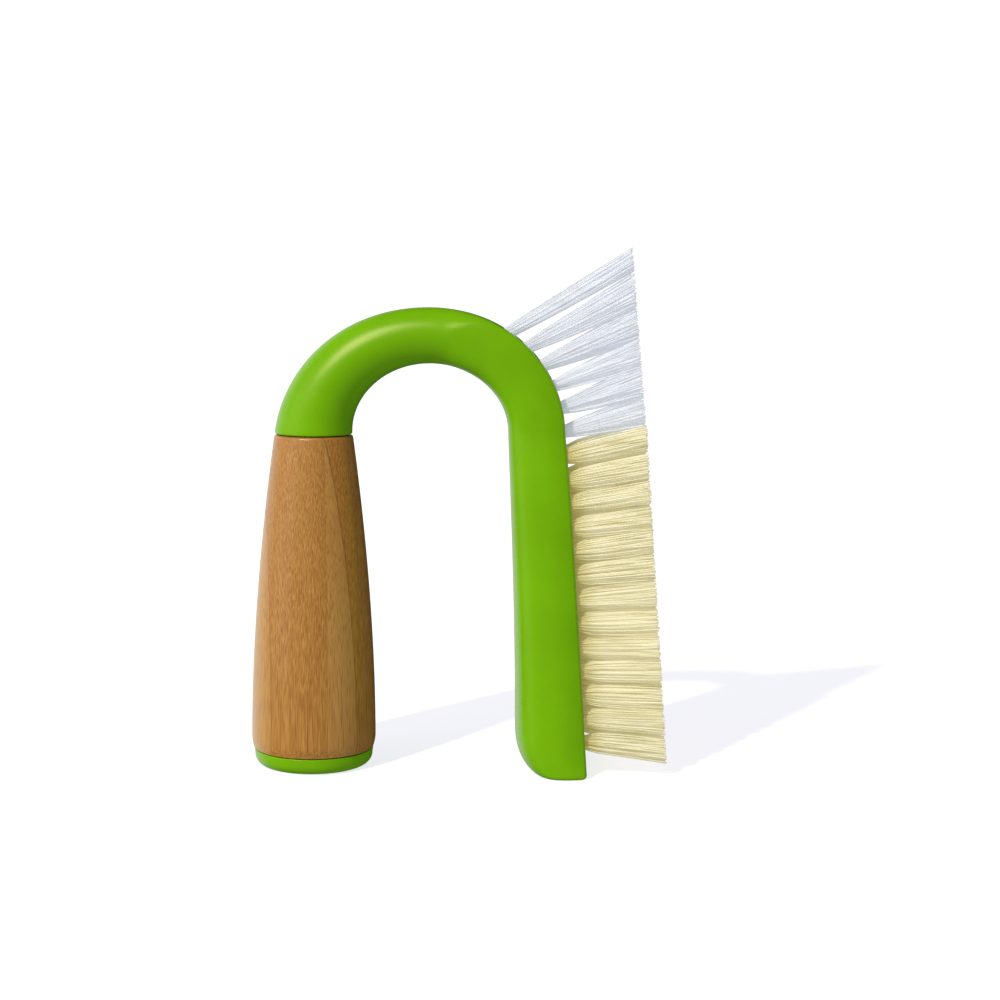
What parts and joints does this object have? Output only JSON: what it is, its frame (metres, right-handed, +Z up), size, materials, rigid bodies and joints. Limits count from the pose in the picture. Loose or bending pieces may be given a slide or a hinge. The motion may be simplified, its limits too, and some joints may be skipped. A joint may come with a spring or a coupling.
{
  "type": "grout brush",
  "caption": "Hand scrubbing brush shaped like an upside-down U: turned bamboo grip, green arched bar, and a flared head with white bristles on the shoulder and stiff cream bristles below.",
  "frame": {"origin": "centre of the end cap's flat foot, on the surface that the brush stands on", "axes": "+Z up along the grip's axis, +X from the grip towards the brush head and its bristle tips, +Y across the brush, which is alike on both sides of Y = 0"},
  "size_m": [0.1339, 0.0428, 0.168],
  "materials": {
    "green_plastic": "smooth satin-gloss moulded plastic",
    "bamboo": "turned laminated bamboo under satin lacquer",
    "cream_bristle": "stiff cream nylon bristle",
    "white_bristle": "fine white nylon bristle",
    "steel": "zinc-plated fixing",
    "brass": "turned insert"
  },
  "bodies": {
    "root": {"arch_body": "green_plastic", "end_cap": "green_plastic", "bamboo_sleeve": "bamboo", "tie_screw": "steel", "washer": "steel", "threaded_insert": "brass", "cream_tuft_front_01": "cream_bristle", "cream_tuft_front_02": "cream_bristle", "cream_tuft_front_03": "cream_bristle", "cream_tuft_front_04": "cream_bristle", "cream_tuft_front_05": "cream_bristle", "cream_tuft_front_06": "cream_bristle", "cream_tuft_front_07": "cream_bristle", "cream_tuft_front_08": "cream_bristle", "cream_tuft_front_09": "cream_bristle", "cream_tuft_front_10": "cream_bristle", "cream_tuft_front_11": "cream_bristle", "cream_tuft_front_12": "cream_bristle", "cream_tuft_front_13": "cream_bristle", "cream_tuft_back_01": "cream_bristle", "cream_tuft_back_02": "cream_bristle", "cream_tuft_back_03": "cream_bristle", "cream_tuft_back_04": "cream_bristle", "cream_tuft_back_05": "cream_bristle", "cream_tuft_back_06": "cream_bristle", "cream_tuft_back_07": "cream_bristle", "cream_tuft_back_08": "cream_bristle", "cream_tuft_back_09": "cream_bristle", "cream_tuft_back_10": "cream_bristle", "cream_tuft_back_11": "cream_bristle", "cream_tuft_back_12": "cream_bristle", "cream_tuft_back_13": "cream_bristle", "cream_tuft_middle_02": "cream_bristle", "cream_tuft_middle_03": "cream_bristle", "cream_tuft_middle_04": "cream_bristle", "cream_tuft_middle_05": "cream_bristle", "cream_tuft_middle_06": "cream_bristle", "cream_tuft_inner_front_07": "cream_bristle", "cream_tuft_inner_front_08": "cream_bristle", "cream_tuft_inner_front_09": "cream_bristle", "cream_tuft_inner_front_10": "cream_bristle", "cream_tuft_inner_front_11": "cream_bristle", "cream_tuft_inner_front_12": "cream_bristle", "cream_tuft_inner_back_07": "cream_bristle", "cream_tuft_inner_back_08": "cream_bristle", "cream_tuft_inner_back_09": "cream_bristle", "cream_tuft_inner_back_10": "cream_bristle", "cream_tuft_inner_back_11": "cream_bristle", "cream_tuft_inner_back_12": "cream_bristle", "white_tuft_1": "white_bristle", "white_tuft_2": "white_bristle", "white_tuft_3": "white_bristle", "white_tuft_4": "white_bristle", "white_tuft_5": "white_bristle", "white_tuft_6": "white_bristle", "white_tuft_7": "white_bristle"}
  },
  "joints": []
}
